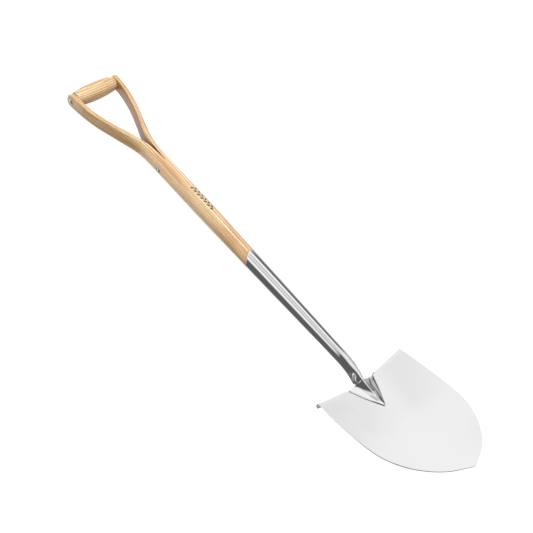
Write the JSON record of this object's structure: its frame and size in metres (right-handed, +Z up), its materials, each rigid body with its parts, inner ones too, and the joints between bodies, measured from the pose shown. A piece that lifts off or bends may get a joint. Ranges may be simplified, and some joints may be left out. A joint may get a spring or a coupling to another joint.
{
  "type": "garden spade",
  "caption": "Round-point digging spade with a dished steel blade, rolled foot treads, a long tapered socket and an ash shaft split into a D-shaped handle.",
  "frame": {"origin": "centre of the bounding box on the floor, with the spade lying on its back", "axes": "+Y along the shaft towards the grip, +X across the blade, +Z up, on the side of the blade's face"},
  "size_m": [0.228, 1.085, 0.1001],
  "materials": {
    "ash": "clear-lacquered honey ash with long fine grain",
    "polished_steel": "mirror-polished stainless steel",
    "blade_steel": "finely polished stainless sheet with a soft reflection",
    "rivet_steel": "bright peened steel"
  },
  "bodies": {
    "root": {"shaft": "ash", "grip": "ash", "grip_rod": "rivet_steel", "grip_rod_washer_left": "rivet_steel", "grip_rod_washer_right": "rivet_steel", "split_rivet": "rivet_steel", "split_rivet_washer_left": "rivet_steel", "split_rivet_washer_right": "rivet_steel", "socket": "polished_steel", "socket_pin": "rivet_steel", "blade": "blade_steel"}
  },
  "joints": []
}
